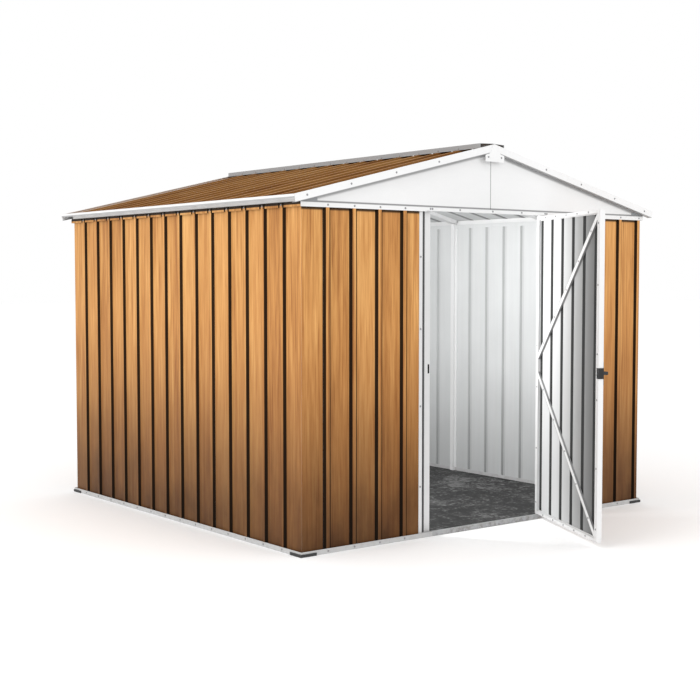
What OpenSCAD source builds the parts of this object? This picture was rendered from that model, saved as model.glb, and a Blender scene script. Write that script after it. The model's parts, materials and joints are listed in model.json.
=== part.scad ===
// Metal garden shed: ribbed steel sheets between white rails, low pitched roof,
// one outward opening door. Millimetres, +Z up, front faces -Y.

/* [Overall] */

// Width across the rails
width = 2635; // [1800:5:3600]

// Depth across the rails
depth = 2575; // [1700:5:3600]

// Height of the walls to the top of the top rail
wall_height = 1800; // [1500:5:2400]

// Slope of the roof in degrees
roof_slope = 13.5; // [8:0.5:25]

/* [Sheets] */

// Thickness of every folded sheet
sheet_t = 2; // [1.2:0.1:3]

// Spacing wanted between ribs
rib_pitch = 172; // [120:1:260]

// Width of the rib at its crest
rib_crest = 22; // [14:1:40]

// Run of each sloping flank of a rib
rib_flank = 10; // [6:1:20]

// Height of a rib above the flats
rib_height = 12; // [8:1:20]

/* [Rails and trims] */

// Height of the rail flanges
rail_flange = 26; // [18:1:45]

// Height of the front rail flange over the doorway
lintel_flange = 22; // [16:1:26]

// Height of the beams that carry the roof at the eaves
beam_height = 28; // [20:1:50]

// Overhang of the roof past the side walls
eave_overhang = 60; // [30:1:120]

// Overhang of the roof past the gables
rake_overhang = 28; // [20:1:60]

// Height of the white rake trims
rake_trim = 41; // [34:1:70]

// Width of each leaf of the ridge cap
ridge_leaf = 95; // [60:1:160]

// Height of the folded side of the ridge cap, which stands on the ribs
ridge_side = 26; // [12:1:40]

// Height of the top of the ridge cap above the peak of the ribs
ridge_lift = 8; // [6:1:20]

/* [Doorway] */

// Clear width of the doorway
door_clear = 860; // [700:5:1000]

// Width of the jamb face
jamb_face = 50; // [35:1:80]

// Opening angle of the door at rest
door_open = 65; // [0:1:90]

// Height of the latch above the ground
latch_height = 920; // [800:5:1100]

/* [Hidden] */

g = 0.3;
t = sheet_t;
xo = width / 2;
yo = depth / 2;

// Offsets inward from the outer face of the rails
crest_out = t + g;
flat_out = crest_out + rib_height;
flat_in = flat_out + t;
flange_in0 = flat_in + g;
flange_in1 = flange_in0 + t;

// Ribs
side_bays = max(6, round(depth / rib_pitch));
pitch_y = depth / side_bays;
front_pitch = pitch_y;
back_bays = max(6, round(width / rib_pitch));
pitch_x = width / back_bays;
lap_bays = round(side_bays / 3);

// Roof
tan_r = tan(roof_slope);
cos_r = cos(roof_slope);
sin_r = sin(roof_slope);
beam_top = wall_height + g + beam_height;
sheet_drop = (rib_height + t) / cos_r;
crest_apex = beam_top + g + sheet_drop + (xo - t) * tan_r;
slope_len = (xo + eave_overhang - t - g) / cos_r;
roof_half = yo + rake_overhang - t - g;
under = rib_height + t + g;

// Doorway, measured from the centre line
open_x = door_clear / 2;
jamb_x = open_x + jamb_face;
rebate = 20;
strip_w = 21;
strip_x = jamb_x + rebate + strip_w;
jamb_out = 27;
jamb_deep = 52;
sheet_end = jamb_x + rebate + g;

// Door
pin_x = open_x - 25;
pin_in = 9;
pin_r = 3;
leaf_edge = 12;
leaf_len = open_x + pin_x + 39;
leaf_z0 = rail_flange + 6;
leaf_z1 = wall_height - lintel_flange - 8;
leaf_out = 15.3;
leaf_in = 12.7;
stile_w = 33;
door_rail_h = 24;
brace_w = 30;

// Folded sheet outline along s, n outward: ribs listed by their centres
function rib_out(c) = [
    [c - rib_crest / 2 - rib_flank, -flat_out],
    [c - rib_crest / 2, -crest_out],
    [c + rib_crest / 2, -crest_out],
    [c + rib_crest / 2 + rib_flank, -flat_out]
];
function rib_in(c) = [
    [c + rib_crest / 2 + rib_flank - t * 0.45, -flat_in],
    [c + rib_crest / 2 - t * 0.45, -crest_out - t],
    [c - rib_crest / 2 + t * 0.45, -crest_out - t],
    [c - rib_crest / 2 - rib_flank + t * 0.45, -flat_in]
];
function outline(s0, s1, ribs) = concat(
    [[s0, -flat_out]],
    [for (c = ribs) for (p = rib_out(c)) p],
    [[s1, -flat_out], [s1, -flat_in]],
    [for (i = [len(ribs) - 1 : -1 : 0]) for (p = rib_in(ribs[i])) p],
    [[s0, -flat_in]]
);

sheet_z0 = t + g;
sheet_z1 = wall_height - t - g;

// One wall run: s grows to the right seen from outside, n is the outward normal
module run(s0, s1, ribs) {
    translate([0, 0, sheet_z0])
        linear_extrude(height = sheet_z1 - sheet_z0)
            polygon([for (p = outline(s0, s1, ribs)) [p[0], -p[1]]]);
}

// Place a run drawn for the front wall on each of the four sides
module on_front() {
    translate([0, -yo, 0]) children();
}
module on_back() {
    rotate([0, 0, 180]) translate([0, -yo, 0]) children();
}
module on_left() {
    rotate([0, 0, -90]) translate([0, -xo, 0]) children();
}
module on_right() {
    rotate([0, 0, 90]) translate([0, -xo, 0]) children();
}

// Mitred strip of a rail between inward offsets a and b
module strip(h, w, a, b, z0, z1) {
    translate([0, 0, z0])
        linear_extrude(height = z1 - z0)
            polygon([[-h + a + g, -w + a], [h - a - g, -w + a], [h - b - g, -w + b], [-h + b + g, -w + b]]);
}

module base_channel(h, w) {
    strip(h, w, 0, t, 0, rail_flange);
    strip(h, w, 0, flange_in1, 0, t);
    strip(h, w, flange_in0, flange_in1, 0, rail_flange);
}

module top_channel(h, w, flange) {
    strip(h, w, 0, t, wall_height - flange, wall_height);
    strip(h, w, 0, flange_in1, wall_height - t, wall_height);
    strip(h, w, flange_in0, flange_in1, wall_height - flange, wall_height);
}

// Box given by two corners
module block(p, q) {
    translate(p) cube([q[0] - p[0], q[1] - p[1], q[2] - p[2]]);
}

module floor_panel() {
    color([0.2, 0.2, 0.2])
        block([-xo + flange_in1 + g, -yo + flange_in1 + g, 0], [xo - flange_in1 - g, yo - flange_in1 - g, 3]);
}

module front_base_rails() {
    color([0.85, 0.85, 0.84])
        difference() {
            base_channel(xo, yo);
            block([-open_x - g, -yo - 1, -1], [open_x + g, -yo + 40, 100]);
        }
}

module back_base_rail() {
    color([0.85, 0.85, 0.84]) rotate([0, 0, 180]) base_channel(xo, yo);
}

module left_base_rail() {
    color([0.85, 0.85, 0.84]) rotate([0, 0, -90]) base_channel(yo, xo);
}

module right_base_rail() {
    color([0.85, 0.85, 0.84]) rotate([0, 0, 90]) base_channel(yo, xo);
}

module door_sill() {
    color([0.8, 0.8, 0.8]) {
        block([-open_x, -yo, 0], [open_x, -yo + t, rail_flange]);
        block([-open_x, -yo, rail_flange - t], [open_x, -yo + flange_in1, rail_flange]);
        block([-open_x, -yo + flange_in0, 0], [open_x, -yo + flange_in1, rail_flange]);
    }
}

// Angle of plastic outside each bottom corner
shoe_len = 95;
shoe_t = 4;
shoe_h = 15;
module shoe() {
    translate([-xo, -yo, 0]) {
        block([-shoe_t - g, -shoe_t - g, 0], [shoe_len, -g, shoe_h]);
        block([-shoe_t - g, -shoe_t - g, 0], [-g, shoe_len, shoe_h]);
    }
}
module corner_shoes() {
    color([0.05, 0.05, 0.05]) {
        shoe();
        mirror([1, 0, 0]) shoe();
        mirror([0, 1, 0]) shoe();
        rotate([0, 0, 180]) shoe();
    }
}

// Corner sheets wrap round the corner: one bay on the front or back, lap_bays on the side
half_rib = rib_crest / 2 + rib_flank;
right_edge = flat_out + half_rib + 3;
left_rib1 = front_pitch;
right_rib1 = right_edge + front_pitch;
lap_s = lap_bays * pitch_y - half_rib - 1;
module front_corner(first, near) {
    on_front() run(-xo + flat_out, -xo + first - half_rib - 1, near);
    on_left() run(yo - lap_s, yo - flat_out, [for (i = [lap_bays - 1 : -1 : 1]) yo - i * pitch_y]);
}
// Same corner with the back wall's bay, drawn at the front left and turned round
module back_corner() {
    on_front() run(-xo + flat_out, -xo + pitch_x - half_rib - 1, []);
    on_left() run(yo - lap_s, yo - flat_out, [for (i = [lap_bays - 1 : -1 : 1]) yo - i * pitch_y]);
}

module front_left_corner_sheet() {
    color([0.72, 0.5, 0.3]) front_corner(left_rib1, []);
}
module front_right_corner_sheet() {
    color([0.72, 0.5, 0.3]) mirror([1, 0, 0]) front_corner(right_rib1, [-xo + right_edge]);
}
module back_right_corner_sheet() {
    color([0.72, 0.5, 0.3]) rotate([0, 0, 180]) back_corner();
}
module back_left_corner_sheet() {
    color([0.72, 0.5, 0.3]) mirror([1, 0, 0]) rotate([0, 0, 180]) back_corner();
}

// Front sheets beside the doorway
module front_sheet(first) {
    ribs = floor((xo - sheet_end - strip_w - half_rib - first) / front_pitch);
    on_front() run(-xo + first - half_rib - 1 + g, -sheet_end, [for (i = [0 : ribs]) -xo + first + i * front_pitch]);
}
module front_left_sheet() {
    color([0.72, 0.5, 0.3]) front_sheet(left_rib1);
}
module front_right_sheet() {
    color([0.72, 0.5, 0.3]) mirror([1, 0, 0]) front_sheet(right_rib1);
}

// Side wall middle sheets lap the corner sheets at the ribs that stand in front of the posts
mid_s = yo - lap_s - g;
module side_sheet() {
    run(-mid_s, mid_s, [for (i = [lap_bays : side_bays - lap_bays]) -yo + i * pitch_y]);
}
module left_wall_sheet() {
    color([0.72, 0.5, 0.3]) on_left() side_sheet();
}
module right_wall_sheet() {
    color([0.72, 0.5, 0.3]) on_right() side_sheet();
}
module back_wall_sheet() {
    color([0.72, 0.5, 0.3])
        on_back() run(-xo + pitch_x - half_rib - 1 + g, xo - pitch_x + half_rib + 1 - g,
            [for (i = [1 : back_bays - 1]) -xo + i * pitch_x]);
}

// Folded jamb: flange on the sheet, rebate, then the face the door closes on
jz0 = 3 + g;
jz1 = wall_height - t - g;
module jamb() {
    s0 = open_x;
    s1 = jamb_x;
    s2 = s1 + rebate;
    translate([0, -yo, jz0])
        linear_extrude(height = jz1 - jz0)
            polygon([
                [-s0, jamb_out], [-s0, jamb_deep], [-s0 - t, jamb_deep], [-s0 - t, jamb_out + t],
                [-s1 + t, jamb_out + t], [-s1 + t, jamb_deep], [-s2, jamb_deep],
                [-s2, flat_out - g], [-s2 - strip_w, flat_out - g], [-s2 - strip_w, flat_out - g - t],
                [-s2 + t, flat_out - g - t], [-s2 + t, jamb_deep - t], [-s1, jamb_deep - t], [-s1, jamb_out]
            ]);
}
strike_x = open_x + 10;
module strike_box(grow) {
    block([-strike_x - 6 - grow, -yo + jamb_out - grow * 10, latch_height - 25 - grow],
        [-strike_x + 6 + grow, -yo + jamb_out + 5, latch_height + 25 + grow]);
}
module jamb_cut() {
    difference() {
        jamb();
        // Room for the rails at the foot and the head
        block([-strip_x - 1, -yo + flange_in0 - g, -1], [-open_x + 1, -yo + flange_in1 + g, rail_flange + g]);
        block([-strip_x - 1, -yo + flange_in0 - g, wall_height - rail_flange - g],
            [-open_x + 1, -yo + flange_in1 + g, wall_height]);
    }
}
module left_jamb() {
    color([0.9, 0.9, 0.9])
        difference() {
            jamb_cut();
            strike_box(g);
        }
}
module right_jamb() {
    color([0.9, 0.9, 0.9]) mirror([1, 0, 0]) jamb_cut();
}

module latch_strike() {
    color([0.05, 0.05, 0.05]) strike_box(0);
}

// Pins the door turns on, standing on the sill and hanging in the top rail
module door_pivots() {
    color([0.6, 0.6, 0.62])
        translate([pin_x, -yo + pin_in, 0]) {
            translate([0, 0, rail_flange + g]) cylinder(r = pin_r, h = 34, $fn = 48);
            translate([0, 0, rail_flange + g]) cylinder(r = 6, h = 3.5, $fn = 48);
            translate([0, 0, leaf_z1 - 28]) cylinder(r = pin_r, h = wall_height - t - g - leaf_z1 + 28, $fn = 48);
        }
}

module front_top_rail() {
    color([0.93, 0.93, 0.93])
        union() {
            top_channel(xo, yo, lintel_flange);
            difference() {
                strip(xo, yo, 0, t, wall_height - rail_flange, wall_height);
                block([-jamb_x, -yo - 1, 0], [jamb_x, -yo + 10, wall_height + 1]);
            }
        }
}
module back_top_rail() {
    color([0.93, 0.93, 0.93]) rotate([0, 0, 180]) top_channel(xo, yo, rail_flange);
}
module left_top_rail() {
    color([0.93, 0.93, 0.93]) rotate([0, 0, -90]) top_channel(yo, xo, rail_flange);
}
module right_top_rail() {
    color([0.93, 0.93, 0.93]) rotate([0, 0, 90]) top_channel(yo, xo, rail_flange);
}

// Angle on each side rail that carries the roof
module eave_beam() {
    x0 = -xo + t;
    rotate([90, 0, 0])
        translate([0, 0, -yo + flange_in1])
            linear_extrude(height = depth - 2 * flange_in1)
                polygon([
                    [x0, wall_height + g], [x0 + 16, wall_height + g], [x0 + 16, wall_height + g + t],
                    [x0 + t, wall_height + g + t], [x0 + t, beam_top + t * tan_r], [x0, beam_top]
                ]);
}
module left_eave_beam() {
    color([0.88, 0.88, 0.88]) eave_beam();
}
module right_eave_beam() {
    color([0.88, 0.88, 0.88]) mirror([1, 0, 0]) eave_beam();
}

// Posts against the side walls, at the laps, each under a rafter
post_w = 33;
post_foot = 64;
post_d = 17;
frame_y = yo - lap_bays * pitch_y;
rafter_w = 64;
rafter_h = 24;
post_x = xo - flange_in1 - g;
post_top = crest_apex - (post_x * tan_r) - (under + rafter_h) / cos_r - g;
module post() {
    block([-post_x, -post_w / 2, 3 + g], [-post_x + post_d, post_w / 2, post_top]);
    block([-xo + flange_in0, -post_foot / 2, rail_flange + 1],
        [-post_x + t, post_foot / 2, wall_height - rail_flange - 1]);
}
module wall_posts() {
    color([0.9, 0.9, 0.9])
        for (sx = [0, 1]) {
            for (sy = [-1, 1]) {
                mirror([sx, 0, 0]) translate([0, sy * frame_y, 0]) post();
            }
        }
}

// Local frame of the left slope: x back to the ridge, y along the roof, z off the crests
module on_slope() {
    translate([0, 0, crest_apex]) rotate([0, -roof_slope, 0]) children();
}
module left_half() {
    intersection() {
        children();
        translate([-2 * xo, -2 * yo, 0]) cube([2 * xo - g / 2, 4 * yo, 4 * wall_height]);
    }
}

module rafter() {
    for (m = [0, 1]) {
        mirror([m, 0, 0])
            intersection() {
                on_slope()
                    block([-(post_x + 1) / cos_r, -rafter_w / 2, -under - rafter_h], [60, rafter_w / 2, -under]);
                block([-post_x, -100, 0], [-g / 2, 100, 4 * wall_height]);
            }
    }
}
module front_rafter() {
    color([0.9, 0.9, 0.9]) translate([0, -frame_y, 0]) rafter();
}
module back_rafter() {
    color([0.9, 0.9, 0.9]) translate([0, frame_y, 0]) rafter();
}

// Gable: two plates that meet on the centre line
gable_in = 4;
gz0 = wall_height + g;
gable_x = xo - t - g;
module gable_half() {
    translate([0, -yo + gable_in + t, 0])
        rotate([90, 0, 0])
            linear_extrude(height = t)
                polygon([
                    [-gable_x, gz0], [-g, gz0], [-g, crest_apex - under / cos_r - g * tan_r],
                    [-gable_x, crest_apex - under / cos_r - gable_x * tan_r]
                ]);
}
module front_gable() {
    color([0.96, 0.96, 0.96]) {
        gable_half();
        mirror([1, 0, 0]) gable_half();
    }
}
module back_gable() {
    color([0.96, 0.96, 0.96]) rotate([0, 0, 180]) {
        gable_half();
        mirror([1, 0, 0]) gable_half();
    }
}

// Roof sheets: same ribs, running from the ridge to the eaves
roof_ribs = [for (i = [1 : side_bays - 1]) -yo + i * pitch_y];
module roof_sheet() {
    on_slope()
        translate([-slope_len, 0, 0])
            rotate([90, 0, 90])
                linear_extrude(height = slope_len - 10)
                    polygon([for (p = outline(-roof_half, roof_half, roof_ribs)) [p[0], p[1] + crest_out]]);
}
module left_roof_sheet() {
    color([0.72, 0.5, 0.3]) roof_sheet();
}
module right_roof_sheet() {
    color([0.72, 0.5, 0.3]) mirror([1, 0, 0]) roof_sheet();
}

cap_y = yo + rake_overhang - 20 - g;
cap_half = ridge_leaf * cos_r;
cap_foot = crest_apex - (cap_half - t) * tan_r + g;
cap_edge = cap_foot + ridge_side;
cap_apex = crest_apex + ridge_lift;
module ridge_cap() {
    color([0.6, 0.61, 0.62])
        translate([0, cap_y, 0])
            rotate([90, 0, 0])
                linear_extrude(height = 2 * cap_y)
                    polygon([
                        [-cap_half, cap_foot], [-cap_half + t, cap_foot], [-cap_half + t, cap_edge - t],
                        [0, cap_apex - t], [cap_half - t, cap_edge - t], [cap_half - t, cap_foot],
                        [cap_half, cap_foot], [cap_half, cap_edge], [0, cap_apex], [-cap_half, cap_edge]
                    ]);
}

// Rake trim: face, top flange on the sheet and a return below
rake_y = yo + rake_overhang;
rake_low = rake_trim - t - g;
module rake_trim_left() {
    left_half()
        on_slope() {
            block([-slope_len, -rake_y, -rake_low], [60, -rake_y + t, g + t]);
            block([-slope_len, -rake_y, g], [60, -rake_y + 20, g + t]);
            block([-slope_len, -rake_y, -rake_low], [60, -yo + gable_in - g, -rake_low + t]);
        }
}
module front_rake_trims() {
    color([0.95, 0.95, 0.95]) {
        rake_trim_left();
        mirror([1, 0, 0]) rake_trim_left();
    }
}
module back_rake_trims() {
    color([0.95, 0.95, 0.95]) rotate([0, 0, 180]) {
        rake_trim_left();
        mirror([1, 0, 0]) rake_trim_left();
    }
}

// Eave trim: channel over the lower edge of the sheet
module eave_trim() {
    on_slope() {
        block([-slope_len - g - t, -roof_half, -under - t], [-slope_len - g, roof_half, g + t]);
        block([-slope_len - g - t, -cap_y, g], [-slope_len + 14, cap_y, g + t]);
        block([-slope_len - g - t, -roof_half, -under - t], [-slope_len + 14, roof_half, -under]);
    }
}
module left_eave_trim() {
    color([0.95, 0.95, 0.95]) eave_trim();
}
module right_eave_trim() {
    color([0.95, 0.95, 0.95]) mirror([1, 0, 0]) eave_trim();
}

// Plate over the meeting rake trims
module apex_plate() {
    top = crest_apex + (g + t) / cos_r;
    translate([0, -rake_y - g, top])
        rotate([90, 0, 0])
            linear_extrude(height = t)
                polygon([
                    [-72, -98], [72, -98], [72, -62], [44, -54], [26, -36], [18, -5],
                    [-18, -5], [-26, -36], [-44, -54], [-72, -62]
                ]);
}
module apex_plates() {
    color([0.96, 0.96, 0.96]) {
        apex_plate();
        rotate([0, 0, 180]) apex_plate();
    }
}

// Door, drawn closed with its pin at the origin and turned to its rest angle
module door_place() {
    translate([pin_x, -yo + pin_in, 0]) rotate([0, 0, door_open]) children();
}
door_x0 = -leaf_len + stile_w;
door_x1 = leaf_edge - stile_w;
door_rib0 = door_x0 + half_rib + 18;
door_rib1 = door_x1 - half_rib - 1;
door_bays = max(3, round((door_rib1 - door_rib0) / 152));
door_ribs = [for (i = [0 : door_bays]) door_rib0 + i * (door_rib1 - door_rib0) / door_bays];
module door_sheet() {
    color([0.72, 0.5, 0.3])
        door_place()
            translate([0, 0, leaf_z0 + t + g])
                linear_extrude(height = leaf_z1 - leaf_z0 - 2 * t - 2 * g)
                    polygon([for (p = outline(door_x0 + g, door_x1 - g, door_ribs)) [p[0], -p[1] - leaf_out]]);
}
sheet_back = flat_in - leaf_out;

// Stiles are closed channels; the hinge stile has bored ends for the pins
module door_hinge_stile() {
    color([0.92, 0.92, 0.92])
        door_place()
            difference() {
                block([door_x1, -leaf_out, leaf_z0], [leaf_edge, leaf_in, leaf_z1]);
                block([door_x1 + t, -leaf_out + t, leaf_z0 + 24], [leaf_edge - t, leaf_in - t, leaf_z1 - 24]);
                translate([0, 0, leaf_z0 - 1]) cylinder(r = pin_r + 0.08, h = 40, $fn = 48);
                translate([0, 0, leaf_z1 - 39]) cylinder(r = pin_r + 0.08, h = 40, $fn = 48);
            }
}
module latch_case(grow) {
    block([-leaf_len - 4, -leaf_out - 1, latch_height - 28 - grow],
        [-leaf_len + 24 + grow, leaf_in + grow * 10, latch_height + 28 + grow]);
}
module door_free_stile() {
    color([0.92, 0.92, 0.92])
        door_place()
            difference() {
                block([-leaf_len, -leaf_out, leaf_z0], [door_x0, leaf_in, leaf_z1]);
                block([-leaf_len + t, -leaf_out + t, leaf_z0 + t], [door_x0 - t, leaf_in - t, leaf_z1 - t]);
                latch_case(g);
            }
}
module door_rail() {
    x0 = door_x0 + g;
    x1 = door_x1 - g;
    block([x0, -leaf_out, 0], [x1, leaf_in, t]);
    block([x0, -leaf_out, 0], [x1, -leaf_out + t, door_rail_h]);
    block([x0, sheet_back + g, 0], [x1, sheet_back + g + t, door_rail_h]);
    block([x0, leaf_in - t, 0], [x1, leaf_in, door_rail_h - 6]);
}
module door_bottom_rail() {
    color([0.92, 0.92, 0.92]) door_place() translate([0, 0, leaf_z0]) door_rail();
}
module door_top_rail() {
    color([0.92, 0.92, 0.92]) door_place() translate([0, 0, leaf_z1]) mirror([0, 0, 1]) door_rail();
}

// Two folded braces from the hinge stile out to the free corners
brace_y0 = sheet_back + g;
brace_y1 = leaf_in - 1;
mid_z = (leaf_z0 + leaf_z1) / 2;
module brace(z_hinge, z_free) {
    x0 = door_x0 + g;
    x1 = door_x1 - g;
    run_x = x1 - x0;
    rise = z_free - z_hinge;
    ang = atan2(rise, run_x);
    length = norm([run_x, rise]);
    intersection() {
        block([x0, -50, leaf_z0 + door_rail_h + g], [x1, 50, leaf_z1 - door_rail_h - g]);
        translate([x1, 0, z_hinge])
            rotate([0, ang, 0])
                difference() {
                    block([-length - 60, brace_y0, -brace_w / 2], [60, brace_y1, brace_w / 2]);
                    block([-length - 61, brace_y0 - 1, -brace_w / 2 + t], [61, brace_y1 - t, brace_w / 2 - t]);
                }
    }
}
module door_braces() {
    color([0.92, 0.92, 0.92])
        door_place() {
            brace(mid_z + 62, leaf_z1 - door_rail_h - 8);
            brace(mid_z - 52, leaf_z0 + door_rail_h + 8);
        }
}

// Latch case let into the free stile, with the pull and its lever outside
module door_handle() {
    color([0.05, 0.05, 0.05])
        door_place() {
            latch_case(0);
            translate([-leaf_len + stile_w / 2, -leaf_out - g, latch_height]) {
                block([-11, -4, -60], [11, 0, 60]);
                rotate([90, 0, 0]) cylinder(r = 9, h = 30, $fn = 48);
                block([-7, -30, -8], [60, -20, 8]);
            }
        }
}

floor_panel();
front_base_rails();
back_base_rail();
left_base_rail();
right_base_rail();
door_sill();
corner_shoes();
front_left_corner_sheet();
front_right_corner_sheet();
back_left_corner_sheet();
back_right_corner_sheet();
front_left_sheet();
front_right_sheet();
left_wall_sheet();
right_wall_sheet();
back_wall_sheet();
left_jamb();
right_jamb();
latch_strike();
door_pivots();
front_top_rail();
back_top_rail();
left_top_rail();
right_top_rail();
left_eave_beam();
right_eave_beam();
wall_posts();
front_rafter();
back_rafter();
front_gable();
back_gable();
left_roof_sheet();
right_roof_sheet();
ridge_cap();
front_rake_trims();
back_rake_trims();
left_eave_trim();
right_eave_trim();
apex_plates();
door_sheet();
door_hinge_stile();
door_free_stile();
door_top_rail();
door_bottom_rail();
door_braces();
door_handle();
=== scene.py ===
"""Finishes, screws and studio for the ribbed steel garden shed.

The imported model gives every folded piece; this add-on gives them their printed
and painted finishes, drives the screws in, and sets up a plain studio.
"""

import json
import math

import bmesh
import bpy
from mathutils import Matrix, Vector


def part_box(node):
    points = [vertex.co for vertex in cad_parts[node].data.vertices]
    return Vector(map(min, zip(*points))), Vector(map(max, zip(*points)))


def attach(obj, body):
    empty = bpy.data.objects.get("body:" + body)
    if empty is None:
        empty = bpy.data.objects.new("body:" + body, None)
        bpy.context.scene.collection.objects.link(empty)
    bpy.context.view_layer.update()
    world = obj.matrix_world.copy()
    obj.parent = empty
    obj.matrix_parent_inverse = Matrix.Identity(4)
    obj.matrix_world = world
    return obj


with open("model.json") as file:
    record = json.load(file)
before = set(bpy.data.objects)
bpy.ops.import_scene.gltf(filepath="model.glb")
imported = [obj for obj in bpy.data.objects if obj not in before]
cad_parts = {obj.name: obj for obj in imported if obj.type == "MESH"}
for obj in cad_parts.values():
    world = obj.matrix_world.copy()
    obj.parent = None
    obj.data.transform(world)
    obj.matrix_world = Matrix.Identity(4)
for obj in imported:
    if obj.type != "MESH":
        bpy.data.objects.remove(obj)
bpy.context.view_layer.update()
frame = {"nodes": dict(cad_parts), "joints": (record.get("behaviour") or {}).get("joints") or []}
NODES = frame["nodes"]

bl_info = {
    "name": "Garden Shed Finish",
    "version": (1, 0, 0),
    "blender": (4, 5, 0),
    "location": "View3D > Sidebar > Shed",
    "description": "Printed steel, painted trims, screws and studio for a ribbed garden shed",
    "category": "Object",
}

# ---------------------------------------------------------------- measurements


def node_box(name):
    """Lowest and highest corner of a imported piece, in metres."""
    low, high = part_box(name)
    return Vector(low), Vector(high)


RAIL_LOW, RAIL_HIGH = node_box("front_top_rail")
HALF_W = RAIL_HIGH.x
FRONT_Y = RAIL_LOW.y
HALF_D = -FRONT_Y
WALL_TOP = RAIL_HIGH.z
SIDE_BAYS = 15
PITCH = 2 * HALF_D / SIDE_BAYS
BACK_PITCH = 2 * HALF_W / 15
RIGHT_RIB = 0.0383
HINGE = next(j for j in frame["joints"] if j["name"] == "door_hinge")
PIN = Vector(HINGE["pos_m"])
DOOR_OPEN = math.radians(65)
LEAF = 0.874
LEAF_IN = 0.0127
LEAF_OUT = 0.0153
RAIL_MID = 0.0135
ROOF_SLOPE = math.radians(13.5)
ROOF_LOW, ROOF_HIGH = node_box("left_roof_sheet")
RAKE_LOW, RAKE_HIGH = node_box("front_rake_trims")
EAVE_LOW = node_box("left_eave_trim")[0]
CAP_LOW, CAP_HIGH = node_box("ridge_cap")
CREST_TOP = RAKE_HIGH.z - 0.0023 / math.cos(ROOF_SLOPE)


def on_leaf(along, inward, height):
    """Point of the open door: along from the pin to the free edge, inward from its middle."""
    c, s = math.cos(DOOR_OPEN), math.sin(DOOR_OPEN)
    return Vector((PIN.x - along * c - inward * s, PIN.y - along * s + inward * c, height))


LEAF_INWARD = Vector((-math.sin(DOOR_OPEN), math.cos(DOOR_OPEN), 0))


def on_roof(x, y, lift=0.0):
    """Point on the rib crests of the roof at x, y, raised off them by lift."""
    top = CREST_TOP
    z = top - abs(x) * math.tan(ROOF_SLOPE)
    side = -1 if x < 0 else 1
    n = Vector((side * math.sin(ROOF_SLOPE), 0, math.cos(ROOF_SLOPE)))
    return Vector((x, y, z)) + n * lift, n


# ---------------------------------------------------------------- shader maths


class Sock:
    """A shader value that adds, multiplies and compares as Math nodes."""

    def __init__(self, nodes, socket):
        self.nodes, self.socket = nodes, socket

    def _math(self, operation, *values):
        return self.nodes.make("ShaderNodeMath", {"operation": operation}, dict(enumerate(values)))

    def __add__(self, other):
        return self._math("ADD", self, other)

    def __radd__(self, other):
        return self._math("ADD", other, self)

    def __sub__(self, other):
        return self._math("SUBTRACT", self, other)

    def __rsub__(self, other):
        return self._math("SUBTRACT", other, self)

    def __mul__(self, other):
        return self._math("MULTIPLY", self, other)

    def __rmul__(self, other):
        return self._math("MULTIPLY", other, self)

    def __truediv__(self, other):
        return self._math("DIVIDE", self, other)

    def __rtruediv__(self, other):
        return self._math("DIVIDE", other, self)

    def __pow__(self, other):
        return self._math("POWER", self, other)

    def __gt__(self, other):
        return self._math("GREATER_THAN", self, other)

    def __lt__(self, other):
        return self._math("LESS_THAN", self, other)

    def __abs__(self):
        return self._math("ABSOLUTE", self)

    def floor(self):
        return self._math("FLOOR", self)

    def fract(self):
        return self._math("FRACT", self)

    def sign(self):
        return self._math("SIGN", self)

    def clamp(self):
        return self.nodes.make("ShaderNodeClamp", {}, {"Value": self})


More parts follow.
